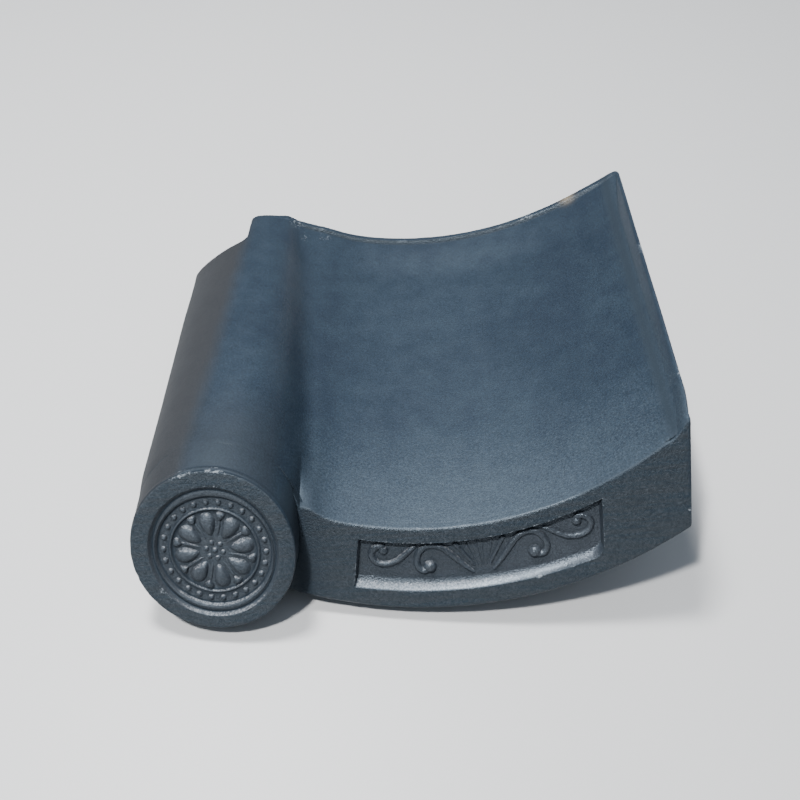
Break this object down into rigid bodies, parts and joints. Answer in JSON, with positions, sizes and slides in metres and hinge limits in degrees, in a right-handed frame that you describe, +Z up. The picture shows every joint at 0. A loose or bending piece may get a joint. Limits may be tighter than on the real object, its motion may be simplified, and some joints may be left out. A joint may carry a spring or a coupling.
{
  "type": "eave end roof tile",
  "caption": "Curved clay eave tile in one piece: a channel pan, a hollow roll ending in a round medallion, and a plumb pendant with a sunk scrollwork panel.",
  "frame": {"origin": "middle of the bounding box's underside, on the ground the tile stands on", "axes": "+Z up; the pendant and the medallion face -Y, the tail is at +Y; the roll is on the -X side"},
  "size_m": [0.3032, 0.3148, 0.1121],
  "materials": {
    "fired_clay": "smoked, unglazed, slightly silvery satin"
  },
  "bodies": {
    "root": {"eave_tile": "fired_clay"}
  },
  "joints": []
}
